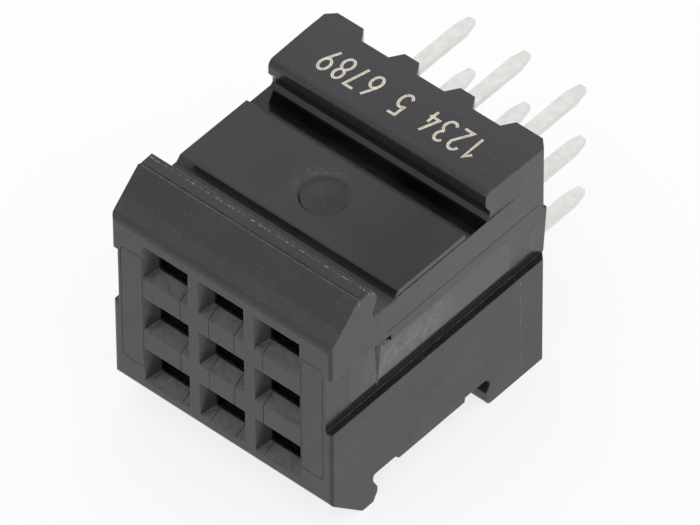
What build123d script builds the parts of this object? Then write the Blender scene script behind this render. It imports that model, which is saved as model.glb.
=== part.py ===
from build123d import *
import os
from math import radians, tan

# Board-to-board connector: a moulded housing with nine funnel-mouthed sockets and nine stamped contacts.
# Millimetres. X runs along a row of sockets, Y from the mating face to the rear, Z up.
# The origin is on the mating face, on the axis of the middle socket.

# Contact grid
columns = 3
rows = 3
pitch = 2.54

# Housing envelope
housing_width = 10.0
floor_margin = 1.38  # axis of the outer row to the floor of the retention channel
lip_height = 1.33  # floor of the retention channel to the crest of the lip and of the rear block
standoff_height = 0.49  # rear face to the seat of the standoff ribs

# Front lip, above and below
bevel_angle = 43.5
upper_bevel_height = 1.31  # foot of the bevel to the crest
lower_bevel_height = 1.50
upper_foot_round = 0.51
lower_foot_round = 0.20
crest_depth = 0.79  # foot of the crest to the nose of the lip
crest_round = 0.20
front_ridge = 0.08  # thin raised edge where the upper bevel ends
front_ridge_back = 0.05
rear_ridge = 0.03
ridge_round = 0.025
nose_slope = 0.22
nose_drop = 0.38
nose_height = 0.25
nose_round = 0.20
lip_undercut = 0.22
lip_root_height = 0.30  # channel floor to the narrowest place under the nose
lip_root_round = 0.14

# Floor and pad of the retention channel
front_floor = 1.16
pad_height = 0.26
pad_front_ramp = 0.24
pad_front_round = 0.12
pad_length = 3.46
pad_rear_ramp = 0.06
pad_side_inset = 0.03
rear_floor = 1.06

# Rear block
rear_block_depth = 2.85  # nose of the block to the rear face
rear_undercut = 0.22
root_ramp = 0.16
root_wall = 0.19
undercut_height = 0.37
root_round = 0.07
block_round = 0.40
block_taper = 0.05  # how much narrower than the housing each side of the block is at its nose
block_taper_length = 1.88

# Gate mark on the upper pad
gate_x = 0.10
gate_y = 5.28
gate_radius = 0.93
gate_depth = 0.09
gate_rim_run = 0.11
gate_hump_radius = 0.45
gate_hump_height = 0.04

# Side recess
recess_depth = 0.27
recess_bottom = -0.25
recess_top = 2.42
recess_step_length = 2.68  # front part, where the wall is upright and ends in a square step
recess_blend_length = 0.12  # run over which the step comes out to the side face
recess_rear_top = 2.04
recess_rear_lip = 0.13  # side face to the top of the leaning wall behind the step
notch_gap = 0.14  # end of the square step to the notch
notch_drop = 0.07  # top of the recess to the notch
notch_length = 0.31
notch_height = 0.35
notch_depth = 0.35

# Upright corners
front_corner_round = 0.13
rear_corner_chamfer = 0.33

# Sockets
funnel_width = 2.09
funnel_height = 1.64
funnel_inset = 0.30
funnel_depth = 0.53
throat_length = 0.12
cavity_step_side = 0.15
cavity_step_height = 0.13

# Rear channels between the standoff ribs
channel_floor_width = 1.24
channel_slope = 0.32

# Contacts
strip_thickness = 0.25
contact_rise = 0.18  # socket axis to the middle of the strip
tail_width = 0.56
tail_reach = 4.68  # seat of the standoff ribs to the tip of the tail
tail_tip_width = 0.29
tail_taper = 0.60
plate_width = 1.26
plate_length = 2.05
plate_setback = 0.38  # rear face to the rear end of the plate
plate_clearance = 0.02  # around the plate in its slot
barb_height = 0.012
barb_length = 0.30
barb_count = 2
beam_root_width = 0.32
beam_tip_width = 0.22
beam_root_length = 0.70
beam_gap = 0.50  # between the two contact points
bump_setback = 0.95  # tip of the beam to the contact point
lead_in = 0.17
tip_setback = 1.00  # cavity's front end to the tip of the beams

# Places worked out from the sizes above
half_width = housing_width / 2
floor_z = (rows - 1) / 2 * pitch + floor_margin
crest_z = floor_z + lip_height
bevel_run = 1 / tan(radians(bevel_angle))
nose_y = lower_bevel_height * bevel_run + crest_depth
lip_root_y = nose_y - lip_undercut
pad_foot_y = lip_root_y + front_floor
pad_start_y = pad_foot_y + pad_front_ramp
pad_end_y = pad_start_y + pad_length
pad_heel_y = pad_end_y + pad_rear_ramp
block_nose_y = pad_heel_y + rear_floor
block_root_y = block_nose_y + rear_undercut
rear_face_y = block_nose_y + rear_block_depth
seat_y = rear_face_y + standoff_height
hole_width = funnel_width - 2 * funnel_inset
hole_height = funnel_height - 2 * funnel_inset
cavity_width = hole_width + 2 * cavity_step_side
cavity_height = hole_height + 2 * cavity_step_height
cavity_start_y = funnel_depth + throat_length
plate_end_y = rear_face_y - plate_setback
plate_start_y = plate_end_y - plate_length
slot_width = plate_width + 2 * plate_clearance
slot_height = strip_thickness + 2 * plate_clearance
reach = 2 * (half_width + crest_z + seat_y)  # longer than the housing in any direction


def column_x(column):
    """Place of a column, counted from 0 at the left of the mating face."""
    return (column - (columns - 1) / 2) * pitch


def row_z(row):
    """Height of a row, counted from 0 at the top."""
    return ((rows - 1) / 2 - row) * pitch


def rounded(corners):
    """Closed face through (across, along, radius) corners, each radius kept within the runs beside it."""
    points = [Vector(across, along) for across, along, _ in corners]
    radii = []
    for index, point in enumerate(points):
        before = points[index - 1] - point
        after = points[(index + 1) % len(points)] - point
        turn = 180 - before.get_angle(after)
        room = 0.45 * min(before.length, after.length) / tan(radians(max(turn, 1) / 2))
        radii.append(min(corners[index][2], room))
    return make_face(FilletPolyline(*points, radius=radii, close=True))


def from_left(face, start, end):
    """Solid of a (Y, Z) face between two X places."""
    return extrude(Plane.YZ.offset(start) * face, amount=end - start, dir=(1, 0, 0))


def from_front(face, start, end):
    """Solid of an (X, Z) face between two Y places."""
    return extrude(Plane.XZ.offset(-start) * face, amount=end - start, dir=(0, 1, 0))


def from_below(face, start, end):
    """Solid of an (X, Y) face between two heights."""
    return extrude(Plane.XY.offset(start) * face, amount=end - start, dir=(0, 0, 1))


def both_sides(solid):
    """The solid and its mirror image on the other side of the housing."""
    return [solid, mirror(solid, about=Plane.YZ)]


def half_corners(bevel_height, foot_round, front_edge, rear_edge):
    """Corners of the side outline from the mating face to the rear seat, above the middle."""
    crest_y = bevel_height * bevel_run
    lip_front = [(0, crest_z - bevel_height, foot_round), (crest_y, crest_z, crest_round)]
    if front_edge > 0:
        ridge_y = crest_y + front_edge * bevel_run
        ridge_end_y = ridge_y + front_ridge_back
        lip_front[1:] = [(ridge_y, crest_z + front_edge, ridge_round), (ridge_end_y, crest_z, 0)]
    lip_back = [
        (nose_y - nose_slope, crest_z + rear_edge, ridge_round),
        (nose_y, crest_z - nose_drop, nose_round),
        (nose_y, crest_z - nose_drop - nose_height, nose_round),
        (lip_root_y, floor_z + lip_root_height, nose_round),
        (lip_root_y, floor_z, lip_root_round),
    ]
    rear_block = [
        (block_root_y - root_ramp, floor_z, root_round),
        (block_root_y, floor_z + root_ramp, root_round),
        (block_root_y, floor_z + root_ramp + root_wall, root_round),
        (block_nose_y, floor_z + root_ramp + root_wall + undercut_height, root_round),
        (block_nose_y, crest_z, block_round),
        (seat_y, crest_z, 0),
    ]
    return lip_front + lip_back + rear_block


def housing_block():
    """The side outline at full width."""
    upper = half_corners(upper_bevel_height, upper_foot_round, front_ridge, rear_ridge)
    lower = half_corners(lower_bevel_height, lower_foot_round, 0, 0)
    lower = [(y, -z, radius) for y, z, radius in reversed(lower)]
    return from_left(rounded(upper + lower), -half_width, half_width)


def channel_pad():
    """Raised pad on the floor of the retention channel, ramped at the front and the rear."""
    side = rounded([
        (pad_foot_y, floor_z, 0),
        (pad_start_y, floor_z + pad_height, pad_front_round),
        (pad_end_y, floor_z + pad_height, 0),
        (pad_heel_y, floor_z, 0),
        (pad_heel_y, floor_z - pad_height, 0),
        (pad_foot_y, floor_z - pad_height, 0),
    ])
    return from_left(side, pad_side_inset - half_width, half_width - pad_side_inset)


def gate_mark():
    """Shallow dish in the upper pad, with a sloping rim and a low hump in the middle."""
    top = floor_z + pad_height
    rim = Cone(gate_radius - gate_rim_run, gate_radius + gate_rim_run, 2 * gate_depth)
    ball = (gate_hump_radius**2 + gate_hump_height**2) / (2 * gate_hump_height)
    hump = Pos(gate_x, gate_y, top - gate_depth + gate_hump_height - ball) * Rot(90, 0, 0) * Sphere(ball)
    return Pos(gate_x, gate_y, top) * rim - hump


def recess_front():
    """Front part of a side recess: an upright wall with a square step above, which comes out to the side."""
    wall = half_width - recess_depth
    outside = half_width + recess_depth
    blend_end = recess_step_length + recess_blend_length
    outline = rounded([
        (wall, -recess_depth, 0),
        (outside, -recess_depth, 0),
        (outside, blend_end, 0),
        (half_width, blend_end, 0),
        (wall, recess_step_length, 0),
    ])
    return from_below(outline, recess_bottom, recess_top)


def recess_rear():
    """Rear part of a side recess, lower than the front part, with a leaning wall."""
    outline = rounded([
        (half_width - recess_depth, recess_bottom, 0),
        (half_width + recess_depth, recess_bottom, 0),
        (half_width + recess_depth, recess_rear_top, 0),
        (half_width - recess_rear_lip, recess_rear_top, 0),
    ])
    return from_front(outline, recess_step_length, seat_y + recess_depth)


def side_notch():
    """Small triangular pocket just behind the square step of the recess."""
    front = recess_step_length + notch_gap
    top = recess_top - notch_drop
    outline = rounded([
        (front, top, 0),
        (front + notch_length, top, 0),
        (front + notch_length, top - notch_height, 0),
    ])
    return from_left(outline, half_width - notch_depth, half_width + recess_depth)


def block_side():
    """Thin wedge that narrows the side of the rear block towards its nose."""
    start = block_nose_y - rear_undercut
    end = block_nose_y + block_taper_length
    outline = rounded([
        (half_width - block_taper, start, 0),
        (half_width + block_taper, start, 0),
        (half_width + block_taper, end, 0),
        (half_width, end, 0),
    ])
    return from_below(outline, floor_z, reach)


def front_corner():
    """What the rounding takes off an upright front corner."""
    centre = Pos(half_width - front_corner_round, front_corner_round)
    square = Pos(half_width, 0) * Rectangle(2 * front_corner_round, 2 * front_corner_round)
    return from_below(square - centre * Circle(front_corner_round), -reach, reach)


def rear_corner(bottom, top):
    """What the chamfer takes off an upright rear corner between two heights."""
    inside = half_width - rear_corner_chamfer
    outside = half_width + rear_corner_chamfer
    outline = rounded([
        (inside, seat_y, 0),
        (half_width, seat_y - rear_corner_chamfer, 0),
        (outside, seat_y - rear_corner_chamfer, 0),
        (outside, seat_y + rear_corner_chamfer, 0),
        (inside, seat_y + rear_corner_chamfer, 0),
    ])
    return from_below(outline, bottom, top)


def socket(x, z):
    """Funnel, throat, spring cavity and retention slot of one socket, as one cutting solid."""
    mouth = Plane.XZ.offset(0) * Pos(x, z) * Rectangle(funnel_width, funnel_height)
    hole = Plane.XZ.offset(-funnel_depth) * Pos(x, z) * Rectangle(hole_width, hole_height)
    funnel = loft([mouth, hole])
    throat = from_front(Pos(x, z) * Rectangle(hole_width, hole_height), funnel_depth, cavity_start_y)
    cavity = from_front(Pos(x, z) * Rectangle(cavity_width, cavity_height), cavity_start_y, plate_start_y)
    slot_face = Pos(x, z + contact_rise) * Rectangle(slot_width, slot_height)
    return funnel + throat + cavity + from_front(slot_face, plate_start_y, seat_y)


def rear_channel(x):
    """Channel in the rear face behind one column, between two standoff ribs."""
    half_floor = channel_floor_width / 2
    half_mouth = half_floor + channel_slope
    outline = rounded([
        (x - half_floor, rear_face_y, 0),
        (x + half_floor, rear_face_y, 0),
        (x + half_mouth, seat_y, 0),
        (x - half_mouth, seat_y, 0),
    ])
    return from_below(outline, -reach, reach)


def housing():
    """The one-piece moulding."""
    pad = channel_pad()
    cuts = [gate_mark()]
    for side_cut in (recess_front(), recess_rear(), side_notch(), block_side(), front_corner()):
        cuts += both_sides(side_cut)
    for corner in (rear_corner(-reach, recess_bottom), rear_corner(recess_rear_top, reach)):
        cuts += both_sides(corner)
    for column in range(columns):
        cuts.append(rear_channel(column_x(column)))
        for row in range(rows):
            cuts.append(socket(column_x(column), row_z(row)))
    return housing_block() + pad + mirror(pad, about=Plane.XY) - cuts


def contact_corners():
    """Right half of the contact's flat outline, from the root between the beams to the tip of the tail."""
    tip_y = cavity_start_y + tip_setback
    bump_y = tip_y + bump_setback
    root_y = plate_start_y - beam_root_length
    half_gap = beam_gap / 2
    half_plate = plate_width / 2
    half_tail = tail_width / 2
    tail_tip_y = seat_y + tail_reach
    beams = [
        (half_plate - beam_root_width, root_y, beam_root_width),
        (half_gap, bump_y, beam_tip_width),
        (half_gap + lead_in, tip_y, 0),
        (half_gap + lead_in + beam_tip_width, tip_y, 0),
        (half_gap + beam_tip_width, bump_y, beam_tip_width),
        (half_plate, root_y, beam_root_width),
    ]
    barbs = []
    for barb in range(barb_count):
        foot = plate_start_y + barb_length * (2 * barb + 1)
        barbs += [(half_plate, foot, 0), (half_plate + barb_height, foot + barb_length, 0)]
        barbs.append((half_plate, foot + barb_length, 0))
    tail = [
        (half_plate, plate_end_y, 0),
        (half_tail, plate_end_y, 0),
        (half_tail, tail_tip_y - tail_taper, tail_taper),
        (tail_tip_width / 2, tail_tip_y, 0),
    ]
    return beams + barbs + tail


def contact(x, z):
    """One stamped contact: two spring beams, retention plate with barbs, and solder tail."""
    right = contact_corners()
    left = [(-across, along, radius) for across, along, radius in reversed(right)]
    blank = Pos(x, 0) * rounded(right + left)
    middle = z + contact_rise
    return from_below(blank, middle - strip_thickness / 2, middle + strip_thickness / 2)


os.makedirs("parts", exist_ok=True)
export_step(housing(), "parts/housing.step")
for column in range(columns):
    for row in range(rows):
        export_step(contact(column_x(column), row_z(row)), f"parts/contact_{row + 1}_{column + 1}.step")
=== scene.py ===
import math
from types import SimpleNamespace

import bmesh
import bpy
from mathutils import Matrix, Vector


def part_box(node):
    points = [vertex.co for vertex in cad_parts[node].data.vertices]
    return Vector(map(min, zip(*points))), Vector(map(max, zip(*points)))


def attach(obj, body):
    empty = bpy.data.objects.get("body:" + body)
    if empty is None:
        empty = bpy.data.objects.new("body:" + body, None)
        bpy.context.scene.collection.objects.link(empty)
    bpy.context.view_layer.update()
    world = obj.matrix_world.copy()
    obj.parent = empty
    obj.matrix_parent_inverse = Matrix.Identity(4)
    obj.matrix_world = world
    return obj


# Board-to-board connector in a plain white studio. Blender works in metres, so millimetres are times MM.
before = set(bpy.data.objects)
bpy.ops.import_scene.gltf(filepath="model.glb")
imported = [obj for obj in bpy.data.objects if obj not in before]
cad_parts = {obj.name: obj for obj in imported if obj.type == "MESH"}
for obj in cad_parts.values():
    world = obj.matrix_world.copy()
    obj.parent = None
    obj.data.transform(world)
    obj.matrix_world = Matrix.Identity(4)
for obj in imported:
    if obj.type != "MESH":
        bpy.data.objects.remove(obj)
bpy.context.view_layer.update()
MM = 0.001
HOUSING_LOW, HOUSING_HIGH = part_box("housing")

# Camera: a very long lens at the photograph's angle, in millimetres and in pixels of the photograph
CAMERA_AZIMUTH = math.radians(41.397)
CAMERA_ELEVATION = math.radians(46.047)
CAMERA_ROLL = math.radians(-0.461)
CAMERA_TARGET = Vector((5.909, 0, 8.959)) * MM
CAMERA_DISTANCE = 400 * MM
CLIP_SHARE = 0.1  # share of that distance at which the view begins
FOCAL_PIXELS = 11923.1
PHOTO_WIDTH = 700
SENSOR_WIDTH = 36

# Studio
FLOOR_HALF = 3.0  # metres from the middle of the floor to its edges
FLOOR_WHITE = (0.97, 0.97, 0.97, 1)
FLOOR_LIFT = 0.80  # share of plain white that the camera sees in the floor, over its shading
WORLD_WHITE = (1, 1, 1, 1)
WORLD_STRENGTH = 1.0

# Housing, in millimetres, from its axis
HALF_WIDTH = HOUSING_HIGH.x / MM
CREST_Z = -HOUSING_LOW.z / MM  # the block's top is as far above the axis as the underside is below it
PITCH = 2.54
GRID_ROWS = (-1, 0, 1)
FUNNEL_HEIGHT = 1.64
FUNNEL_DEPTH = 0.53
FUNNEL_INSET = 0.30
GATE_X = 0.10
GATE_Y = 5.28

# Where the areas of the moulding fade out or in, as two ends in millimetres
RAMP_FOOT_Y = (2.5, 3.5)
MATT_FOOT_Y = (3.3, 3.5)
PAD_HEEL_Y = (6.9, 7.15)
BLOCK_TOP_Y = (8.3, 11.4)
BLOCK_TOP_Z = (5.1, 5.2)
BEVEL_END_Y = (1.7, 1.9)
FUNNEL_END_Y = (0.53, 0.60)
SOCKET_AREA_X = (4.6, 4.7)
RECESS_WALL_X = (4.9, 4.97)
UPPER_SIDE_Z = (2.02, 2.08)
UPPER_SIDE_Y = (1.0, 9.0)
LOWER_SIDE_Z = (-0.3, -0.2)
SMEAR_SHEEN_X = (0.0, 1.0)
LIP_Z = (5.0, 5.15)
LIP_END_Y = (2.4, 2.5)
GATE_RIM = (0.9, 1.05)
GATE_SHADE_X = (-0.5, 0.6)
# Painted highlight: a streaky crescent on the upper-left rim of the gate dish
RIM_HIGHLIGHT_START = (1.0, 1.08)
RIM_HIGHLIGHT_END = (1.15, 1.6)
RIM_HIGHLIGHT_X = (-0.9, 0.5)
RIM_HIGHLIGHT_Y = (-0.8, 0.2)

# Bands of the moulding, as low end, high end and half the width of their soft edges, in millimetres
CHANNEL_Y = (2.2, 8.6, 0.1)
CHANNEL_Z = (3.8, 4.75, 0.05)
RECESS_Y = (1.3, 9.63, 0.02)
RECESS_Z = (-0.3, 2.02, 0.03)
RECESS_STEP_Y = (2.6, 2.9, 0.02)
SMEAR_SHEEN_Y = (2.3, 6.4, 0.8)
SMEAR_SHEEN_Z = (0.45, 1.80, 0.45)
CREST_EDGES_Y = ((1.47, 1.53, 0.02), (1.98, 2.02, 0.02), (2.15, 2.26, 0.02))
CREST_EDGES_Z = (5.0, 5.6, 0.05)
PIN_LINE_Y = (9.94, 9.96, 0.02)
PIN_LINE_Z = (-4.6, -0.4, 0.1)

# How squarely faces point along an axis, where one is straight along it: ramps and bands as above
SQUARE_ON = (0.8, 0.95)
FUNNEL_WALL_TURN = (0.7, 0.9)
BEVEL_TURN = (0.6, 0.8, 0.05)
FUNNEL_FLOOR_TURN = (0.75, 0.95, 0.05)
RECESS_STEP_TURN = (0.25, 0.75, 0.05)

# Colours of the moulding: two blacks, then the layers over them, lowest first, each with its share; most
# layers are painted sheen, highlights and shade
BLACK = (0.0105, 0.0098, 0.0108, 1)
PALE_BLACK = (0.0185, 0.0172, 0.0188, 1)
LAYERS = {
    # painted sheen: upward faces lighter and bluish, strongest at the left
    "top sheen": (1, (0.0205, 0.0205, 0.0240, 1)),
    # painted shade: the channel's upward faces darker towards the right
    "channel shade": (0.9, (0.0030, 0.0026, 0.0030, 1)),
    # painted shade and dark reflection: the groove in front of the rear block almost black
    "rear groove shade": (0.97, (0.0012, 0.0010, 0.0010, 1)),
    # painted highlight: the rear block's top lighter towards the rear
    "block top highlight": (1, (0.0330, 0.0325, 0.0355, 1)),
    # painted sheen: the sloped front bevel lighter
    "bevel sheen": (0.5, (0.0215, 0.0195, 0.0195, 1)),
    # painted highlight: the upward faces inside the funnels lighter, streaked
    "funnel floor highlight": (1, (0.0850, 0.0800, 0.0760, 1)),
    # painted sheen: the sideways faces inside the funnels lighter
    "funnel wall sheen": (0.8, (0.0500, 0.0480, 0.0490, 1)),
    # painted sheen: side faces above the ledge lighter, more towards the rear
    "upper side sheen": (1, (0.0370, 0.0348, 0.0370, 1)),
    # painted shade: side faces below the ledge darker
    "lower side shade": (0.8, (0.0040, 0.0036, 0.0040, 1)),
    "ramp foot": (1, (0.0480, 0.0455, 0.0470, 1)),
    "patch": (0.13, (0.0450, 0.0425, 0.0450, 1)),
    # painted highlight: the slanted faces of the step at the recess's front end pale
    "recess step highlight": (1, (0.1500, 0.1470, 0.1530, 1)),
    # painted sheen: faces looking forward lighter
    "mating face": (0.55, (0.0270, 0.0255, 0.0265, 1)),
    # painted sheen: the side recess wall lighter than the faces round it
    "recess": (0.6, (0.0240, 0.0230, 0.0255, 1)),
    # painted shade in the gate dish, darker towards its right
    "gate": (1, (0.0075, 0.0066, 0.0055, 1)),
    # painted highlight: streaky crescent on the gate dish's upper-left rim
    "gate rim highlight": (0.5, (0.0900, 0.0880, 0.0920, 1)),
    # smears on the right recess wall, shown as pale bluish streaks of painted sheen
    "smear sheen": (0.68, (0.135, 0.140, 0.150, 1)),
    "speck": (0.29, (0.34, 0.33, 0.31, 1)),
    "glint": (0.55, (0.42, 0.41, 0.42, 1)),
    # chipped edges with painted glints: rounded edges paler, more so on the lip
    "chip glint": (1, (0.36, 0.35, 0.34, 1)),
}
MOULDING_TINT = (1.0, 0.945, 0.985, 1)  # its reflections are faintly purple

# What a faded layer keeps at the two ends of its ramp
TOP_SHEEN_SHARES = (0.95, 0.0)
BLOCK_TOP_SHARES = (0.12, 0.75)
UPPER_SIDE_SHARES = (0.35, 1.0)
GATE_SHARES = (0.35, 0.95)
FUNNEL_SHARES = (0.45, 1.0)
SMEAR_SHEEN_SHARES = (0.22, 1.0)
SPECK_SHARES = (0.0, 0.55)
# Chipped edges with painted glints
CHIP_GLINT_SHARE = 0.34
CHIP_GLINT_SHARE_ON_LIP = 0.45  # on top of the share elsewhere

# Patterns of the moulding: feature sizes in millimetres, and the noise levels between which a mark appears
CLOUD_SIZE = 1.6
FLOW_SIZE = 0.9
STREAK_SIZE = 0.75
PATCH_SIZE = 2.6
GRAIN_SIZE = 0.085
FINE_SIZE = 0.06
CHIP_GLINT_SIZE = 0.07
SPECK_SPACING = 0.075
SPECK_RADII = (0.18, 0.40)  # in spacings
SPECK_RARITY = (0.72, 1.0)
CLOUD_WEIGHT = 0.55
FINE_WEIGHT = 0.45
MOTTLE_LEVELS = (0.36, 0.64)
FLOW_LEVELS = (0.3, 0.7)
PATCH_LEVELS = (0.35, 0.68)
FUNNEL_LEVELS = (0.35, 0.65)
RIM_HIGHLIGHT_LEVELS = (0.44, 0.62)
SMEAR_SHEEN_LEVELS = (0.38, 0.72)
CHIP_GLINT_LEVELS = (0.47, 0.62)
GLINT_LEVELS = (0.50, 0.60)
PIN_LINE_LEVELS = (0.52, 0.62)

# Finish of the moulding, lengths in millimetres
EDGE_ROUND = 0.045
EDGE_SAMPLES = 6
EDGE_TURN = (0.985, 0.86)  # cosines between the rounded and the true normal, from flat to edge
GRAIN_HEIGHT = 0.006
GRAIN_STRENGTH = 0.35
GRAIN_SMOOTHED = 0.85  # share of the grain that the polished areas lack
SATIN_ROUGHNESS = (0.19, 0.30)
POLISHED_ROUGHNESS = (0.08, 0.14)
MATT_ROUGHNESS = 0.45

# Tin plating, ink and witness lines, lengths in millimetres
TIN_DULL = (0.71, 0.71, 0.685, 1)
TIN_BRIGHT = (0.81, 0.81, 0.79, 1)
TIN_ROUGHNESS = (0.30, 0.42)
TIN_MOTTLE_SIZE = 0.35
TIN_MOTTLE_LEVELS = (0.3, 0.7)
TIN_DRAWN_SIZE = 0.05
TIN_STRETCH = (1.0, 0.12, 1.0)  # the drawn pattern is long along the strip
TIN_EDGE_ROUND = 0.03
TIN_EDGE_SAMPLES = 4
TIN_RELIEF_HEIGHT = 0.004
TIN_RELIEF_STRENGTH = 0.25
INK_WORN = (0.60, 0.56, 0.44, 1)
INK_FULL = (0.80, 0.77, 0.64, 1)
INK_WEAR_SIZE = 0.12
INK_WEAR_LEVELS = (0.35, 0.65)
INK_ROUGHNESS = 0.6
# Witness lines: dark strips, partly painted shade of the small steps and corners along them
CREASE_SHADE_DARK = (0.020, 0.018, 0.018, 1)
CREASE_SHADE_PALE = (0.050, 0.047, 0.047, 1)
CREASE_FADE_SIZE = 0.4
CREASE_FADE_LEVELS = (0.3, 0.7)
CREASE_ROUGHNESS = 0.8
CREASE_SPECULAR = 0.1

# Marking on the rear block, in millimetres; each digit is drawn with a double line
MARK_TEXT = "1234 5 6789"
MARK_RIGHT = 3.42
MARK_FOOT = 10.08
MARK_PITCH = 0.66
MARK_WIDTH = 0.40
MARK_HEIGHT = 1.08
MARK_GAP = 0.060
MARK_LINE = 0.046
MARK_THICK = 0.004
MARK_LAYER = 0.25  # share of the thickness by which a digit's next stroke lies higher where the two meet

# Witness lines of the mould, in millimetres
PANEL_HALF_WIDTH = 4.60
PANEL_HALF_HEIGHT = 2.71
PANEL_ROUND = 0.2
PANEL_ARC_STEPS = 5
PANEL_LINE_X = 3.62
PANEL_LINE_GAP = 0.05
SPLIT_LINES_X = (-1.89, -0.58, 0.58, 1.89)
FUNNEL_LINE_GAP = 0.02
FUNNEL_LINE_WIDTH = 0.03
SIDE_LINE = [(2.95, 2.60), (10.9, 2.64)]
CREST_LINE = [(-4.9, 1.60), (4.84, 1.60), (4.88, 1.64), (4.88, 1.92)]
CREST_START = 1.515
CREST_RISE = 0.047  # rise of the crest for each millimetre towards the rear
CREASE_WIDTH = 0.024
CREST_LINE_WIDTH = 0.045
CREASE_THICK = 0.003
MITRE_LIMIT = 0.5  # a line is at most twice as wide across its mitred corners


class Surface:
    """A new material and its node tree, with short calls for the nodes used here."""

    def __init__(self, name):
        self.material = bpy.data.materials.new(name)
        self.material.use_nodes = True
        self.nodes = self.material.node_tree.nodes
        self.shader = self.nodes["Principled BSDF"]

    def feed(self, socket, value):
        """Sets an input to a value, or links it to the output that is given instead."""
        if isinstance(value, bpy.types.NodeSocket):
            self.material.node_tree.links.new(value, socket)
        else:
            socket.default_value = value

    def add(self, kind, inputs=(), **settings):
        """A node of one kind, with pairs of an input's name and its value, and with attributes."""
        node = self.nodes.new(kind)
        for name, value in settings.items():
            setattr(node, name, value)
        for name, value in inputs:
            self.feed(node.inputs[name], value)
        return node

    def dress_shader(self, *inputs):
        """Feeds the inputs of the principled shader, as pairs of a name and a value."""
        for name, value in inputs:
            self.feed(self.shader.inputs[name], value)

    def math(self, operation, *values, clamp=False):
        """Output of a math node; each value is a number or a socket."""
        node = self.add("ShaderNodeMath", operation=operation, use_clamp=clamp)
        for socket, value in zip(node.inputs, values):
            self.feed(socket, value)
        return node.outputs["Value"]

    def fold(self, operation, values):
        """Output of one operation on all the values in turn."""
        result, *others = values
        for value in others:
            result = self.math(operation, result, value)
        return result

    def product(self, *values):
        """Output of the values multiplied."""
        return self.fold("MULTIPLY", values)

    def largest(self, *values):
        """Output of the largest of the values."""
        return self.fold("MAXIMUM", values)

    def outside(self, mask):
        """Output that is one where a mask is zero."""
        return self.math("SUBTRACT", 1.0, mask)

    def ramp(self, value, ends, results=(0.0, 1.0)):
        """Output of a smooth clamped ramp: at the ends of a range it gives the two results."""
        node = self.add(
            "ShaderNodeMapRange",
            [("Value", value), ("From Min", ends[0]), ("From Max", ends[1]), ("To Min", results[0]),
             ("To Max", results[1])],
            interpolation_type="SMOOTHSTEP")
        return node.outputs["Result"]

    def fall(self, value, ends):
        """Output of a ramp from one down to zero."""
        return self.ramp(value, ends, (1.0, 0.0))

    def band(self, value, low, high, soft):
        """One between two values, fading out over soft edges."""
        return self.product(
            self.ramp(value, (low - soft, low + soft)), self.fall(value, (high - soft, high + soft)))

    def mix(self, share, first, second):
        """Output of a colour mix; each colour is a value or a socket."""
        node = self.add("ShaderNodeMix", [("Factor", share)], data_type="RGBA")
        self.feed(node.inputs[6], first)
        self.feed(node.inputs[7], second)
        return node.outputs[2]

    def mix_number(self, share, first, second):
        """Output of a mix of two numbers."""
        node = self.add("ShaderNodeMix", [("Factor", share)], data_type="FLOAT")
        self.feed(node.inputs[2], first)
        self.feed(node.inputs[3], second)
        return node.outputs[0]

    def split(self, vector):
        """X, Y and Z outputs of a vector."""
        return self.add("ShaderNodeSeparateXYZ", [("Vector", vector)]).outputs

    def place(self):
        """Object coordinates in millimetres, and the object's own normal."""
        coordinates = self.add("ShaderNodeTexCoord")
        scaled = self.add(
            "ShaderNodeVectorMath", [(0, coordinates.outputs["Object"]), ("Scale", 1 / MM)],
            operation="SCALE")
        return scaled.outputs["Vector"], coordinates.outputs["Normal"]

    def noise(self, place, size, detail=2.0, roughness=0.5, distortion=0.0):
        """Noise with features of a size in millimetres."""
        node = self.add("ShaderNodeTexNoise", [
            ("Vector", place), ("Scale", 1 / size), ("Detail", detail), ("Roughness", roughness),
            ("Distortion", distortion)])
        return node.outputs["Fac"]

    def rounded(self, radius, samples):
        """Normal that is rounded over the edges, by a radius in millimetres."""
        return self.add("ShaderNodeBevel", [("Radius", radius * MM)], samples=samples).outputs["Normal"]

    def relief(self, height, distance, strength, normal):
        """Normal with a relief of some height in millimetres."""
        node = self.add("ShaderNodeBump", [
            ("Strength", strength), ("Distance", distance * MM), ("Height", height), ("Normal", normal)])
        return node.outputs["Normal"]


def make_camera():
    """Camera at the photograph's viewing angle."""
    level = math.cos(CAMERA_ELEVATION)
    back = Vector((
        math.sin(CAMERA_AZIMUTH) * level, -math.cos(CAMERA_AZIMUTH) * level, math.sin(CAMERA_ELEVATION)))
    right = (-back).cross(Vector((0, 0, 1))).normalized()
    up = right.cross(-back)
    side = math.cos(CAMERA_ROLL) * right + math.sin(CAMERA_ROLL) * up
    top = math.cos(CAMERA_ROLL) * up - math.sin(CAMERA_ROLL) * right
    turned = Matrix((side, top, back)).transposed().to_4x4()
    camera = bpy.data.objects.new("camera", bpy.data.cameras.new("camera"))
    camera.matrix_world = Matrix.Translation(CAMERA_TARGET + back * CAMERA_DISTANCE) @ turned
    camera.data.sensor_width = SENSOR_WIDTH
    camera.data.lens = FOCAL_PIXELS / PHOTO_WIDTH * SENSOR_WIDTH
    camera.data.clip_start = CAMERA_DISTANCE * CLIP_SHARE
    bpy.context.scene.collection.objects.link(camera)
    bpy.context.scene.camera = camera


def make_world():
    """Even white light from all round, white to the camera."""
    world = bpy.data.worlds.new("studio")
    bpy.context.scene.world = world
    world.use_nodes = True
    background = world.node_tree.nodes["Background"]
    background.inputs["Color"].default_value = WORLD_WHITE
    background.inputs["Strength"].default_value = WORLD_STRENGTH


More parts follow.
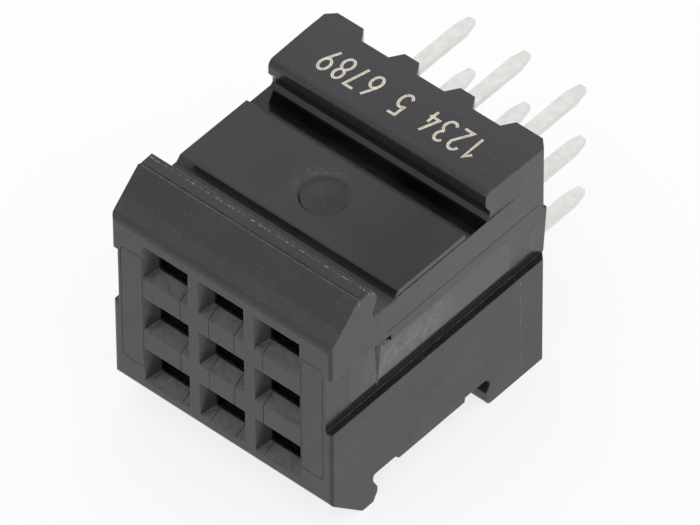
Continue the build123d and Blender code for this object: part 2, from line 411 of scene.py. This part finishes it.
def floor_material():
    """White to reflections and mostly white to the camera, which still sees the object's shadow."""
    surface = Surface("floor")
    surface.dress_shader(("Base Color", FLOOR_WHITE), ("Roughness", 1), ("Specular IOR Level", 0))
    white = surface.add("ShaderNodeEmission", [("Strength", 1.0)])
    path = surface.add("ShaderNodeLightPath").outputs
    seen = surface.product(path["Is Camera Ray"], FLOOR_LIFT)
    whitened = surface.largest(path["Is Glossy Ray"], path["Is Transmission Ray"], seen)
    mix = surface.add("ShaderNodeMixShader", [
        ("Fac", whitened), (1, surface.shader.outputs["BSDF"]), (2, white.outputs["Emission"])])
    surface.feed(surface.nodes["Material Output"].inputs["Surface"], mix.outputs["Shader"])
    return surface.material


def make_floor():
    """Plain pale floor under the housing."""
    mesh = bpy.data.meshes.new("floor")
    corners = [(-1, -1), (1, -1), (1, 1), (-1, 1)]
    vertices = [(x * FLOOR_HALF, y * FLOOR_HALF, HOUSING_LOW.z) for x, y in corners]
    mesh.from_pydata(vertices, [], [(0, 1, 2, 3)])
    floor = bpy.data.objects.new("floor", mesh)
    floor.data.materials.append(floor_material())
    bpy.context.scene.collection.objects.link(floor)


def moulding_patterns(surface, place):
    """Noises and specks of the moulding, each a value from zero to one."""
    cells = surface.add("ShaderNodeTexVoronoi", [("Vector", place), ("Scale", 1 / SPECK_SPACING)])
    colour = surface.add("ShaderNodeSeparateColor", [("Color", cells.outputs["Color"])])
    return SimpleNamespace(
        cloud=surface.noise(place, CLOUD_SIZE, detail=3.0, roughness=0.55),
        flow=surface.noise(place, FLOW_SIZE, detail=4.0, roughness=0.6, distortion=1.2),
        streak=surface.noise(place, STREAK_SIZE, detail=5.0, roughness=0.65, distortion=2.4),
        patch=surface.noise(place, PATCH_SIZE),
        grain=surface.noise(place, GRAIN_SIZE),
        fine=surface.noise(place, FINE_SIZE),
        chip_glints=surface.noise(place, CHIP_GLINT_SIZE, detail=1.0),
        specks=surface.product(
            surface.fall(cells.outputs["Distance"], SPECK_RADII),
            surface.ramp(colour.outputs["Red"], SPECK_RARITY, SPECK_SHARES)),
    )


def moulding_areas(surface, place, normal):
    """Places, turns and masks that the layers of the moulding share; a mask is one inside its area."""
    x, y, z = surface.split(place)
    facing = surface.split(normal)
    across = surface.math("ABSOLUTE", x)
    sideways = surface.math("ABSOLUTE", facing["X"])
    on_side = surface.ramp(sideways, SQUARE_ON)
    channel = surface.product(surface.band(y, *CHANNEL_Y), surface.band(z, *CHANNEL_Z))
    gate_x = surface.math("SUBTRACT", x, GATE_X)
    gate_y = surface.math("SUBTRACT", y, GATE_Y)
    from_gate = surface.math("SQRT", surface.math(
        "ADD", surface.product(gate_x, gate_x), surface.product(gate_y, gate_y)))
    return SimpleNamespace(
        x=x, y=y, z=z, across=across, gate_x=gate_x, gate_y=gate_y, from_gate=from_gate,
        frontward=facing["Y"], upward=facing["Z"], sideways=sideways,
        on_side=on_side,
        on_top=surface.ramp(facing["Z"], SQUARE_ON),
        in_front=surface.fall(y, FUNNEL_END_Y),
        channel=channel,
        groove=surface.product(channel, surface.ramp(y, PAD_HEEL_Y)),
        recess=surface.product(
            on_side, surface.band(y, *RECESS_Y), surface.band(z, *RECESS_Z),
            surface.fall(across, RECESS_WALL_X)),
        gate=surface.product(surface.fall(from_gate, GATE_RIM), channel),
    )


def top_layers(surface, area):
    """Where the layers of the upper faces lie: painted sheen on the tops, painted shade in the channel, the
    rear groove and the gate mark, and painted highlights on the block and the bevel.
    """
    return {
        # painted sheen on the upward faces, fading out to the right, left out of the rear groove
        "top sheen": surface.product(
            area.on_top, surface.ramp(area.x, (-HALF_WIDTH, HALF_WIDTH), TOP_SHEEN_SHARES),
            surface.outside(area.groove)),
        # painted shade in the channel, darkening towards the right
        "channel shade": surface.product(area.on_top, area.channel, surface.ramp(area.x, (0.0, HALF_WIDTH))),
        # painted shade and dark reflection in the groove in front of the rear block
        "rear groove shade": area.groove,
        # painted highlight on the rear block's top, growing towards the rear
        "block top highlight": surface.product(
            area.on_top, surface.ramp(area.z, BLOCK_TOP_Z),
            surface.ramp(area.y, BLOCK_TOP_Y, BLOCK_TOP_SHARES)),
        # painted sheen on the sloped front bevel
        "bevel sheen": surface.product(
            surface.band(area.upward, *BEVEL_TURN), surface.fall(area.y, BEVEL_END_Y)),
        "ramp foot": surface.product(area.channel, surface.fall(area.y, RAMP_FOOT_Y)),
        # painted shade in the gate dish, darker towards its right
        "gate": surface.product(area.gate, surface.ramp(area.gate_x, GATE_SHADE_X, GATE_SHARES)),
    }


def front_and_side_layers(surface, area, pattern):
    """Where the layers of the mating face, the funnels and the side faces lie: painted sheen, highlights and
    shade, by which way the faces turn.
    """
    return {
        # painted sheen on the faces that look forward
        "mating face": surface.ramp(area.frontward, (-SQUARE_ON[0], -SQUARE_ON[1])),
        # painted highlight on the funnels' upward faces, streaked
        "funnel floor highlight": surface.product(
            surface.band(area.upward, *FUNNEL_FLOOR_TURN), area.in_front,
            surface.ramp(pattern.streak, FUNNEL_LEVELS, FUNNEL_SHARES)),
        # painted sheen on the funnels' side walls
        "funnel wall sheen": surface.product(
            surface.ramp(area.sideways, FUNNEL_WALL_TURN), area.in_front,
            surface.fall(area.across, SOCKET_AREA_X)),
        # painted sheen on the side faces above the ledge, growing towards the rear
        "upper side sheen": surface.product(
            area.on_side, surface.ramp(area.z, UPPER_SIDE_Z),
            surface.ramp(area.y, UPPER_SIDE_Y, UPPER_SIDE_SHARES)),
        # painted shade on the side faces below the ledge
        "lower side shade": surface.product(area.on_side, surface.fall(area.z, LOWER_SIDE_Z)),
        # painted sheen on the side recess wall
        "recess": area.recess,
        # painted highlight on the slanted faces of the recess's front step
        "recess step highlight": surface.product(
            surface.band(area.sideways, *RECESS_STEP_TURN), surface.band(area.y, *RECESS_STEP_Y),
            surface.ramp(area.across, SOCKET_AREA_X)),
    }


def wear_and_highlight_layers(surface, area, pattern, rounded):
    """Where the patches, the gate rim highlight, the smears with their painted sheen, the specks, the glints
    and the chipped edges with painted glints lie.
    """
    true_normal = surface.add("ShaderNodeNewGeometry").outputs["Normal"]
    turn = surface.add("ShaderNodeVectorMath", [(0, rounded), (1, true_normal)], operation="DOT_PRODUCT")
    lip = surface.product(surface.ramp(area.z, LIP_Z), surface.fall(area.y, LIP_END_Y))
    satin = surface.outside(surface.largest(area.channel, area.recess))
    edges = [surface.band(area.y, *edge) for edge in CREST_EDGES_Y]
    crest_edges = surface.product(surface.band(area.z, *CREST_EDGES_Z), surface.largest(*edges))
    pin_line = surface.product(
        area.on_side, surface.band(area.y, *PIN_LINE_Y), surface.band(area.z, *PIN_LINE_Z))
    return {
        "patch": surface.ramp(pattern.patch, PATCH_LEVELS),
        # painted highlight: a streaky crescent on the gate dish's upper-left rim
        "gate rim highlight": surface.product(
            area.channel, surface.ramp(area.from_gate, RIM_HIGHLIGHT_START), surface.fall(area.from_gate, RIM_HIGHLIGHT_END),
            surface.fall(area.gate_x, RIM_HIGHLIGHT_X), surface.ramp(area.gate_y, RIM_HIGHLIGHT_Y),
            surface.ramp(pattern.streak, RIM_HIGHLIGHT_LEVELS)),
        # smears on the right recess wall, with their sheen painted as pale streaks
        "smear sheen": surface.product(
            area.recess, surface.band(area.y, *SMEAR_SHEEN_Y), surface.band(area.z, *SMEAR_SHEEN_Z),
            surface.ramp(area.x, SMEAR_SHEEN_X), surface.ramp(pattern.streak, SMEAR_SHEEN_LEVELS, SMEAR_SHEEN_SHARES)),
        "speck": surface.product(pattern.specks, surface.largest(satin, area.gate)),
        "glint": surface.largest(
            surface.product(crest_edges, surface.ramp(pattern.chip_glints, GLINT_LEVELS)),
            surface.product(pin_line, surface.ramp(pattern.chip_glints, PIN_LINE_LEVELS))),
        # chipped edges with painted glints along the rounded edges, more on the lip
        "chip glint": surface.product(
            surface.ramp(turn.outputs["Value"], EDGE_TURN), surface.ramp(pattern.chip_glints, CHIP_GLINT_LEVELS),
            surface.math("MULTIPLY_ADD", lip, CHIP_GLINT_SHARE_ON_LIP, CHIP_GLINT_SHARE)),
    }


def moulding_colour(surface, area, pattern, rounded):
    """Base colour of the moulding: mottled black, then one layer after the other over it, many of them
    painted sheen, highlights and shade.
    """
    mottle = surface.math(
        "ADD", surface.product(pattern.cloud, CLOUD_WEIGHT), surface.product(pattern.fine, FINE_WEIGHT))
    colour = surface.mix(surface.ramp(mottle, MOTTLE_LEVELS), BLACK, PALE_BLACK)
    cover = {
        **top_layers(surface, area),
        **front_and_side_layers(surface, area, pattern),
        **wear_and_highlight_layers(surface, area, pattern, rounded),
    }
    for name, (share, layer) in LAYERS.items():
        colour = surface.mix(surface.product(cover[name], share), colour, layer)
    return colour


def moulding_material():
    """Black glass-filled moulding: satin and finely grained, smoother in the channel and the side recess."""
    surface = Surface("moulding")
    place, normal = surface.place()
    pattern = moulding_patterns(surface, place)
    area = moulding_areas(surface, place, normal)
    rounded = surface.rounded(EDGE_ROUND, EDGE_SAMPLES)
    polished = surface.math(
        "SUBTRACT", surface.largest(area.channel, area.recess), area.gate, clamp=True)
    roughness = surface.mix_number(
        polished, surface.ramp(pattern.flow, FLOW_LEVELS, SATIN_ROUGHNESS),
        surface.ramp(pattern.flow, FLOW_LEVELS, POLISHED_ROUGHNESS))
    matt = surface.product(area.channel, surface.fall(area.y, MATT_FOOT_Y))
    grained = surface.outside(surface.product(polished, GRAIN_SMOOTHED))
    surface.dress_shader(
        ("Base Color", moulding_colour(surface, area, pattern, rounded)),
        ("Roughness", surface.mix_number(matt, roughness, MATT_ROUGHNESS)),
        ("Specular Tint", MOULDING_TINT),
        ("Normal", surface.relief(
            surface.product(pattern.grain, grained), GRAIN_HEIGHT, GRAIN_STRENGTH, rounded)),
    )
    return surface.material


def tin_material():
    """Matt tin plating, faintly mottled and drawn along the strip."""
    surface = Surface("tin")
    place, _ = surface.place()
    stretched = surface.add("ShaderNodeVectorMath", [(0, place), (1, TIN_STRETCH)], operation="MULTIPLY")
    drawn = surface.noise(stretched.outputs["Vector"], TIN_DRAWN_SIZE)
    mottle = surface.noise(place, TIN_MOTTLE_SIZE, detail=3.0)
    rounded = surface.rounded(TIN_EDGE_ROUND, TIN_EDGE_SAMPLES)
    surface.dress_shader(
        ("Base Color", surface.mix(surface.ramp(mottle, TIN_MOTTLE_LEVELS), TIN_DULL, TIN_BRIGHT)),
        ("Roughness", surface.ramp(mottle, TIN_MOTTLE_LEVELS, TIN_ROUGHNESS)),
        ("Metallic", 1),
        ("Normal", surface.relief(drawn, TIN_RELIEF_HEIGHT, TIN_RELIEF_STRENGTH, rounded)),
    )
    return surface.material


def ink_material():
    """Cream marking ink, slightly uneven."""
    surface = Surface("ink")
    place, _ = surface.place()
    wear = surface.ramp(surface.noise(place, INK_WEAR_SIZE), INK_WEAR_LEVELS)
    surface.dress_shader(("Base Color", surface.mix(wear, INK_WORN, INK_FULL)), ("Roughness", INK_ROUGHNESS))
    return surface.material


def shaded_crease_material():
    """Dark witness line in the moulding, partly painted shade of the small steps and corners along it."""
    surface = Surface("shaded_crease")
    place, _ = surface.place()
    fade = surface.ramp(surface.noise(place, CREASE_FADE_SIZE), CREASE_FADE_LEVELS)
    surface.dress_shader(
        ("Base Color", surface.mix(fade, CREASE_SHADE_DARK, CREASE_SHADE_PALE)), ("Roughness", CREASE_ROUGHNESS),
        ("Specular IOR Level", CREASE_SPECULAR))
    return surface.material


def dress_node(name, material):
    """Puts a material on every slot of a CAD node."""
    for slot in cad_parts[name].material_slots:
        slot.material = material


def ribbon(points, width):
    """Left and right edge points of a flat line of some width, mitred at its corners."""
    points = [Vector(point) for point in points]
    edges = []
    for index, point in enumerate(points):
        before = point - points[index - 1] if index else None
        after = points[index + 1] - point if index < len(points) - 1 else None
        first = (before or after).normalized()
        second = (after or before).normalized()
        along = (first + second).normalized()
        side = Vector((-along.y, along.x)) * (width / 2 / max(along.dot(first), MITRE_LIMIT))
        edges.append((point + side, point - side))
    return edges


def add_ribbon(parts, points, width, thick, to_space):
    """Adds a thin closed bar along a flat line; to_space places (across, along, height) in millimetres."""
    vertices, faces = parts
    edges = ribbon(points, width)
    base = len(vertices)
    for left, right in edges:
        for point, height in ((left, thick), (right, thick), (right, -thick), (left, -thick)):
            vertices.append(Vector(to_space(point.x, point.y, height)) * MM)
    last = base + 4 * (len(edges) - 1)
    for here in range(base, last, 4):
        for corner in range(4):
            following = (corner + 1) % 4
            faces.append((here + corner, here + following, here + 4 + following, here + 4 + corner))
    faces.append((base + 3, base + 2, base + 1, base))
    faces.append((last, last + 1, last + 2, last + 3))


def arc(centre_x, centre_y, radius_x, radius_y, start, end, steps=10):
    """Points of an elliptic arc between two angles in degrees."""
    points = []
    for step in range(steps + 1):
        angle = math.radians(start + (end - start) * step / steps)
        points.append((centre_x + radius_x * math.cos(angle), centre_y + radius_y * math.sin(angle)))
    return points


def make_piece(name, parts, material):
    """A piece of the housing from vertices and faces."""
    vertices, faces = parts
    mesh = bpy.data.meshes.new(name)
    mesh.from_pydata(vertices, [], faces)
    mesh.update()
    shape = bmesh.new()
    shape.from_mesh(mesh)
    bmesh.ops.recalc_face_normals(shape, faces=shape.faces)
    shape.to_mesh(mesh)
    shape.free()
    mesh.materials.append(material)
    piece = bpy.data.objects.new(name, mesh)
    bpy.context.scene.collection.objects.link(piece)
    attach(piece, "root")


def digit_strokes():
    """Strokes of the plain digits 1 to 9, each in a box one wide and two high."""
    return {
        "1": [[(0.15, 1.5), (0.65, 2.0), (0.65, 0.0)]],
        "2": [arc(0.5, 1.5, 0.5, 0.5, 165, -20) + [(0.0, 0.0), (1.0, 0.0)]],
        "3": [arc(0.45, 1.53, 0.47, 0.47, 150, -80), arc(0.45, 0.53, 0.53, 0.53, 82, -150)],
        "4": [[(0.75, 0.0), (0.75, 1.1)], [(0.7, 2.0), (0.0, 0.55), (1.05, 0.55)]],
        "5": [[(0.95, 2.0), (0.15, 2.0), (0.08, 1.12)] + arc(0.45, 0.62, 0.53, 0.62, 125, -150)],
        "6": [[(0.75, 2.0), (0.12, 0.95)] + arc(0.5, 0.55, 0.5, 0.55, 165, 345, 9),
              arc(0.5, 0.55, 0.5, 0.55, 345, 525, 9)],
        "7": [[(0.0, 2.0), (1.0, 2.0), (0.35, 0.0)]],
        "8": [arc(0.5, 1.53, 0.43, 0.47, -90, 270, 18), arc(0.5, 0.53, 0.5, 0.53, 90, 450, 18)],
        "9": [[(0.25, 0.0), (0.88, 1.05)] + arc(0.5, 1.45, 0.5, 0.55, -15, 165, 9),
              arc(0.5, 1.45, 0.5, 0.55, 165, 345, 9)],
    }


def on_block_top(across, along, height):
    """Place on top of the rear block, for a marking that reads from the rear."""
    return (MARK_RIGHT - across, MARK_FOOT - along, CREST_Z + height)


def on_front_face(across, along, height):
    """Place on the mating face."""
    return (across, -height, along)


def on_right_side(across, along, height):
    """Place on the right side face."""
    return (HALF_WIDTH + height, across, along)


def on_left_side(across, along, height):
    """Place on the left side face."""
    return (-HALF_WIDTH - height, across, along)


def on_crest(across, along, height):
    """Place on the flat crest of the upper lip."""
    return (across, along, CREST_Z + CREST_RISE * (along - CREST_START) + height)


def on_funnel_floor(row):
    """Function that places points on the floors of the funnels of one row."""
    rim = row * PITCH - FUNNEL_HEIGHT / 2

    def to_space(across, along, height):
        return (across, along, rim + along * FUNNEL_INSET / FUNNEL_DEPTH + height)

    return to_space


def make_marking():
    """Generic row of digits on the rear block."""
    strokes = digit_strokes()
    parts = ([], [])
    for place, sign in enumerate(MARK_TEXT):
        start = place * MARK_PITCH
        for layer, stroke in enumerate(strokes.get(sign, [])):
            line = [(start + u * MARK_WIDTH, v * MARK_HEIGHT / 2) for u, v in stroke]
            thick = MARK_THICK * (1 + MARK_LAYER * layer)
            for double in zip(*ribbon(line, MARK_GAP)):
                add_ribbon(parts, double, MARK_LINE, thick, on_block_top)
    make_piece("marking", parts, ink_material())


def panel_side(sign):
    """Line of the mould insert round the sockets, on one side of the mating face."""
    across, up, radius = PANEL_HALF_WIDTH, PANEL_HALF_HEIGHT, PANEL_ROUND
    upper = arc(across - radius, up - radius, radius, radius, 90, 0, PANEL_ARC_STEPS)
    lower = [(u, -v) for u, v in reversed(upper)]
    return [(sign * u, v) for u, v in [(PANEL_LINE_X, up)] + upper + lower + [(PANEL_LINE_X, -up)]]


def make_shaded_creases():
    """Fine witness lines of the mould on the mating face, in the funnels, on the sides and on the lip, drawn
    dark as painted shade of their small steps and corners.
    """
    parts = ([], [])

    def shaded_crease(line, to_space, width=CREASE_WIDTH):
        add_ribbon(parts, line, width, CREASE_THICK, to_space)

    line_top = PANEL_HALF_HEIGHT - PANEL_LINE_GAP
    for sign in (-1, 1):
        shaded_crease(panel_side(sign), on_front_face)
        shaded_crease([(sign * PANEL_LINE_X, line_top), (sign * PANEL_LINE_X, -line_top)], on_front_face)
    half_bar = (PITCH - FUNNEL_HEIGHT) / 2
    for split_x in SPLIT_LINES_X:
        for bar_z in (-PITCH / 2, PITCH / 2):
            shaded_crease([(split_x, bar_z - half_bar), (split_x, bar_z + half_bar)], on_front_face)
        for row in GRID_ROWS:
            line = [(split_x, FUNNEL_LINE_GAP), (split_x, FUNNEL_DEPTH - FUNNEL_LINE_GAP)]
            shaded_crease(line, on_funnel_floor(row), FUNNEL_LINE_WIDTH)
    shaded_crease(SIDE_LINE, on_right_side)
    shaded_crease(SIDE_LINE, on_left_side)
    shaded_crease(CREST_LINE, on_crest, CREST_LINE_WIDTH)
    make_piece("shaded creases", parts, shaded_crease_material())


make_camera()
make_world()
make_floor()
dress_node("housing", moulding_material())
tin = tin_material()
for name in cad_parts:
    if name.startswith("contact"):
        dress_node(name, tin)
make_marking()
make_shaded_creases()

bpy.context.scene.view_settings.view_transform = "Standard"
